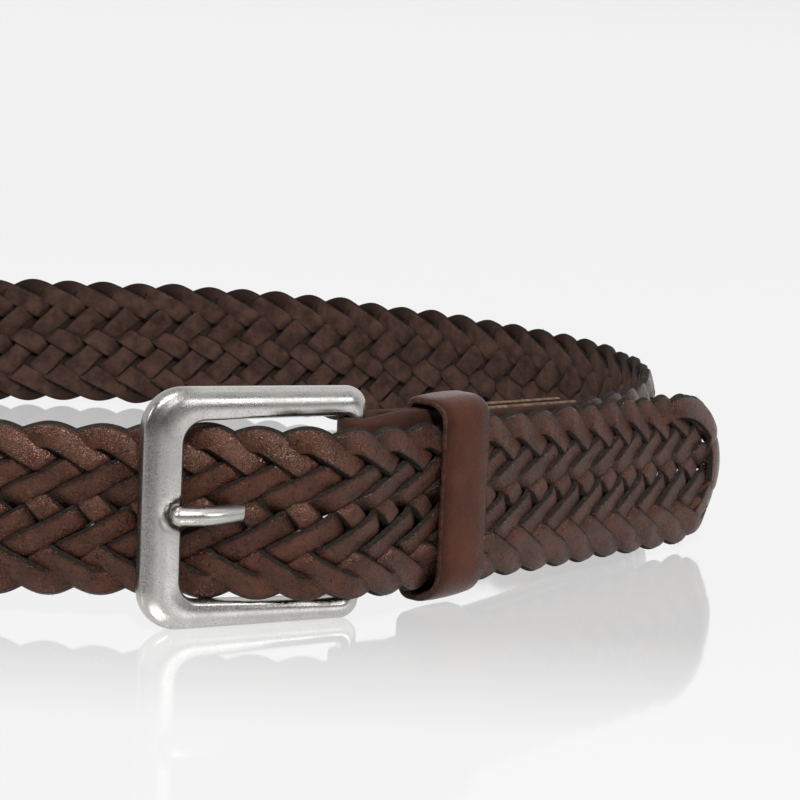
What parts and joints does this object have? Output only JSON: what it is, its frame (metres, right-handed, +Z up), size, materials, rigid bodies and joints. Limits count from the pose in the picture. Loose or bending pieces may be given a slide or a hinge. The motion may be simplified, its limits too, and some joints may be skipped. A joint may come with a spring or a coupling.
{
  "type": "braided belt",
  "caption": "Flat plaited leather belt with a square metal buckle, fastened in a waist-sized loop and standing on its edge; holds trousers up at the waist.",
  "frame": {"origin": "on the ground, under the middle of the belt's outline as seen from above", "axes": "+Z up across the strap's width; +X and +Y level, the buckle's open end pointing towards -X, with its face towards -Y"},
  "size_m": [0.2778, 0.2648, 0.0488],
  "materials": {
    "plaited_leather": "satin",
    "smooth_leather": "satin",
    "metal": "satin"
  },
  "bodies": {
    "root": {"braided_strap": "plaited_leather", "buckle_frame": "metal", "prong": "metal", "buckle_tab": "smooth_leather", "keeper_loop": "smooth_leather"}
  },
  "joints": []
}
